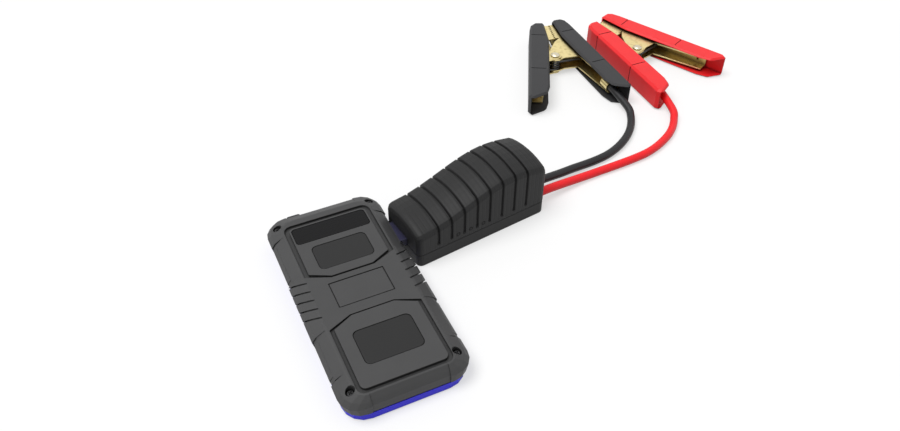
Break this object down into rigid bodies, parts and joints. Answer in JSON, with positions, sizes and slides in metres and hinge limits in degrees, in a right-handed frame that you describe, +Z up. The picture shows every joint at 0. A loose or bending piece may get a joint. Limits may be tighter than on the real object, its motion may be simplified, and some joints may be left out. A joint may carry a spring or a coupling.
{
  "type": "jump starter pack",
  "caption": "Pocket jump starter: flat battery pack with raised panels and ribbed grips, a plug-in humped cable module, and spring battery clamps on short heavy cables.",
  "frame": {"origin": "centre of the battery pack's footprint, on the surface that it lies on", "axes": "+X across the pack towards the cable module, +Y along the pack towards the end with the ports, +Z up"},
  "size_m": [0.386, 0.293, 0.0443],
  "materials": {
    "case_plastic": "matte with a fine grain",
    "base_plastic": "satin",
    "display_glass": "gloss",
    "inlay_plastic": "satin",
    "module_plastic": "matte with a fine grain",
    "black_cover": "matte",
    "red_cover": "satin",
    "black_cable": "satin",
    "red_cable": "satin",
    "brass": "stamped and plated",
    "copper": "bare copper",
    "steel": "plain",
    "dark_steel": "blackened steel",
    "circuit_board": "solder mask",
    "cell_wrap": "foil pouch",
    "plug_plastic": "satin",
    "light_pipe": "dark moulded pipe",
    "socket_plastic": "matte",
    "clear_lens": "clear moulded lens",
    "led_body": "cast resin"
  },
  "bodies": {
    "pack": {"top_cover": "case_plastic", "bottom_cover": "base_plastic", "display_window": "display_glass", "display_panel": "circuit_board", "upper_pad": "inlay_plastic", "lower_pad": "inlay_plastic", "badge_plate": "case_plastic", "case_screw_1": "dark_steel", "case_screw_2": "dark_steel", "case_screw_3": "dark_steel", "case_screw_4": "dark_steel", "battery_cell_1": "cell_wrap", "battery_cell_2": "cell_wrap", "battery_cell_3": "cell_wrap", "negative_busbar": "copper", "positive_busbar": "copper", "main_board": "circuit_board", "jump_socket": "socket_plastic", "socket_pin_1": "brass", "socket_pin_2": "brass", "usb_port": "steel", "charge_port": "steel", "torch_lens": "clear_lens", "torch_led": "led_body", "button_switch": "socket_plastic"},
    "power_button": {"power_button": "inlay_plastic"},
    "jump_module": {"module_top_cover": "module_plastic", "module_bottom_cover": "module_plastic", "module_board": "circuit_board", "relay": "socket_plastic", "plug_housing": "plug_plastic", "plug_contact_1": "brass", "plug_contact_2": "brass", "led_lens_1": "light_pipe", "led_lens_2": "light_pipe", "led_lens_3": "light_pipe", "black_grommet": "inlay_plastic", "red_grommet": "inlay_plastic", "module_screw_1": "steel", "module_screw_2": "steel", "black_cable": "black_cable", "red_cable": "red_cable", "black_fixed_cover": "black_cover", "black_fixed_jaw": "brass", "black_pivot_pin": "steel", "black_spring": "dark_steel", "black_strap": "copper", "red_fixed_cover": "red_cover", "red_fixed_jaw": "brass", "red_pivot_pin": "steel", "red_spring": "dark_steel", "red_strap": "copper"},
    "black_clamp_half": {"black_moving_cover": "black_cover", "black_moving_jaw": "brass"},
    "red_clamp_half": {"red_moving_cover": "red_cover", "red_moving_jaw": "brass"}
  },
  "joints": [
    {"name": "button_press", "type": "slide", "parent": "pack", "child": "power_button", "axis": [0, -1, 0], "range_m": [0, 0.0006], "stiffness_N_per_m": 1500, "springref_m": -0.0006},
    {"name": "plug_pull", "type": "slide", "parent": "pack", "child": "jump_module", "axis": [1, 0, 0], "range_m": [0, 0.03]},
    {"name": "black_clamp_squeeze", "type": "hinge", "parent": "jump_module", "child": "black_clamp_half", "pos_m": [0.2275, 0.1678, 0.00875], "axis": [0, 0, 1], "range_deg": [0, 30], "stiffness_Nm_per_rad": 0.8, "springref_deg": -34.38, "deforming": ["black_spring", "black_strap"]},
    {"name": "red_clamp_squeeze", "type": "hinge", "parent": "jump_module", "child": "red_clamp_half", "pos_m": [0.2933, 0.1495, 0.00875], "axis": [0, 0, -1], "range_deg": [0, 30], "stiffness_Nm_per_rad": 0.8, "springref_deg": -34.38, "deforming": ["red_spring", "red_strap"]}
  ]
}
